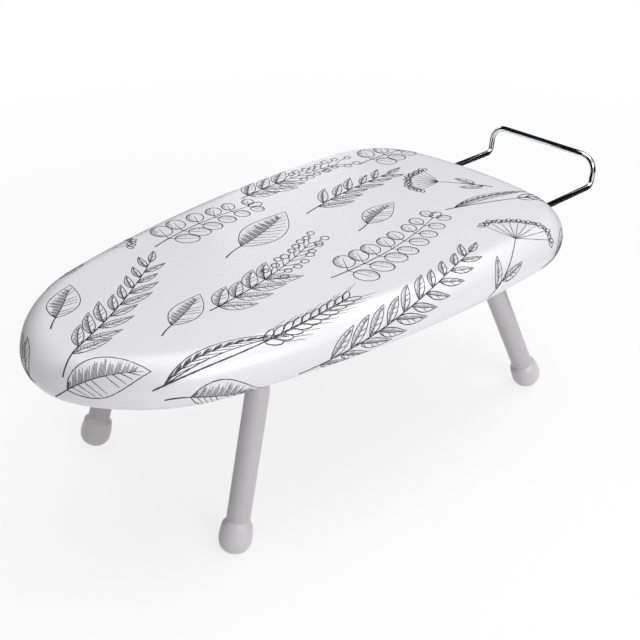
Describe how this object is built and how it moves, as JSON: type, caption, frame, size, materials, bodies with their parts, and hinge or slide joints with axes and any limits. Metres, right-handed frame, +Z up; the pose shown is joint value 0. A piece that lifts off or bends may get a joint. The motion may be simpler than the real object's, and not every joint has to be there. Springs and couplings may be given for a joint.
{
  "type": "tabletop ironing board",
  "caption": "Low ironing board for a table: a padded, cloth-covered mesh deck with a rounded nose, on folding tube legs with round feet, and a sliding wire rest for the iron at its tail.",
  "frame": {"origin": "on the table under the middle of the length, centred across the width, with the legs open", "axes": "+X from the nose to the tail, +Y to the left of someone looking along +X, +Z up from the table"},
  "size_m": [0.6978, 0.325, 0.2142],
  "materials": {
    "cover_cloth": "pale grey-white cotton, printed with thin dark grey leaf sprigs",
    "pad_foam": "off-white needled felt",
    "elastic_cord": "white braided elastic cord",
    "painted_steel": "light grey powder coat",
    "chrome_wire": "polished chrome plate",
    "black_plastic": "satin black moulding",
    "nylon": "natural nylon moulding",
    "coated_tube": "satin light warm grey powder coat",
    "foot_plastic": "satin light grey moulding",
    "zinc_steel": "bright zinc plate"
  },
  "bodies": {
    "board": {"cover": "cover_cloth", "pad": "pad_foam", "hem_elastic": "elastic_cord", "mesh_deck": "painted_steel", "rim_band": "painted_steel", "front_rail": "painted_steel", "rear_rail": "painted_steel", "rest_rail": "painted_steel", "rest_guide_left": "nylon", "rest_guide_right": "nylon", "rest_sleeve_left": "nylon", "rest_sleeve_right": "nylon", "front_hinge_left_saddle": "zinc_steel", "front_hinge_left_bush": "nylon", "front_hinge_left_fore_screw": "zinc_steel", "front_hinge_left_fore_nut": "zinc_steel", "front_hinge_left_aft_screw": "zinc_steel", "front_hinge_left_aft_nut": "zinc_steel", "front_hinge_right_saddle": "zinc_steel", "front_hinge_right_bush": "nylon", "front_hinge_right_fore_screw": "zinc_steel", "front_hinge_right_fore_nut": "zinc_steel", "front_hinge_right_aft_screw": "zinc_steel", "front_hinge_right_aft_nut": "zinc_steel", "rear_hinge_left_saddle": "zinc_steel", "rear_hinge_left_bush": "nylon", "rear_hinge_left_packing_block": "nylon", "rear_hinge_left_fore_screw": "zinc_steel", "rear_hinge_left_fore_nut": "zinc_steel", "rear_hinge_left_aft_screw": "zinc_steel", "rear_hinge_left_aft_nut": "zinc_steel", "rear_hinge_right_saddle": "zinc_steel", "rear_hinge_right_bush": "nylon", "rear_hinge_right_packing_block": "nylon", "rear_hinge_right_fore_screw": "zinc_steel", "rear_hinge_right_fore_nut": "zinc_steel", "rear_hinge_right_aft_screw": "zinc_steel", "rear_hinge_right_aft_nut": "zinc_steel", "rest_guide_left_screw": "zinc_steel", "rest_guide_left_nut": "zinc_steel", "rest_guide_right_screw": "zinc_steel", "rest_guide_right_nut": "zinc_steel"},
    "front_leg": {"front_leg_tube": "coated_tube", "front_leg_foot_left": "foot_plastic", "front_leg_foot_right": "foot_plastic"},
    "rear_leg": {"rear_leg_tube": "coated_tube", "rear_leg_foot_left": "foot_plastic", "rear_leg_foot_right": "foot_plastic"},
    "iron_rest": {"rest_wire": "chrome_wire", "rest_cap_left": "black_plastic", "rest_cap_right": "black_plastic"}
  },
  "joints": [
    {"name": "front_leg_fold", "type": "hinge", "parent": "board", "child": "front_leg", "pos_m": [-0.18491, 0, 0.1741], "axis": [0, -1, 0], "range_deg": [0, 106.6]},
    {"name": "rear_leg_fold", "type": "hinge", "parent": "board", "child": "rear_leg", "pos_m": [0.11009, 0, 0.1587], "axis": [0, 1, 0], "range_deg": [0, 109]},
    {"name": "iron_rest_slide", "type": "slide", "parent": "board", "child": "iron_rest", "axis": [1, 0, 0], "range_m": [-0.09, 0]}
  ]
}
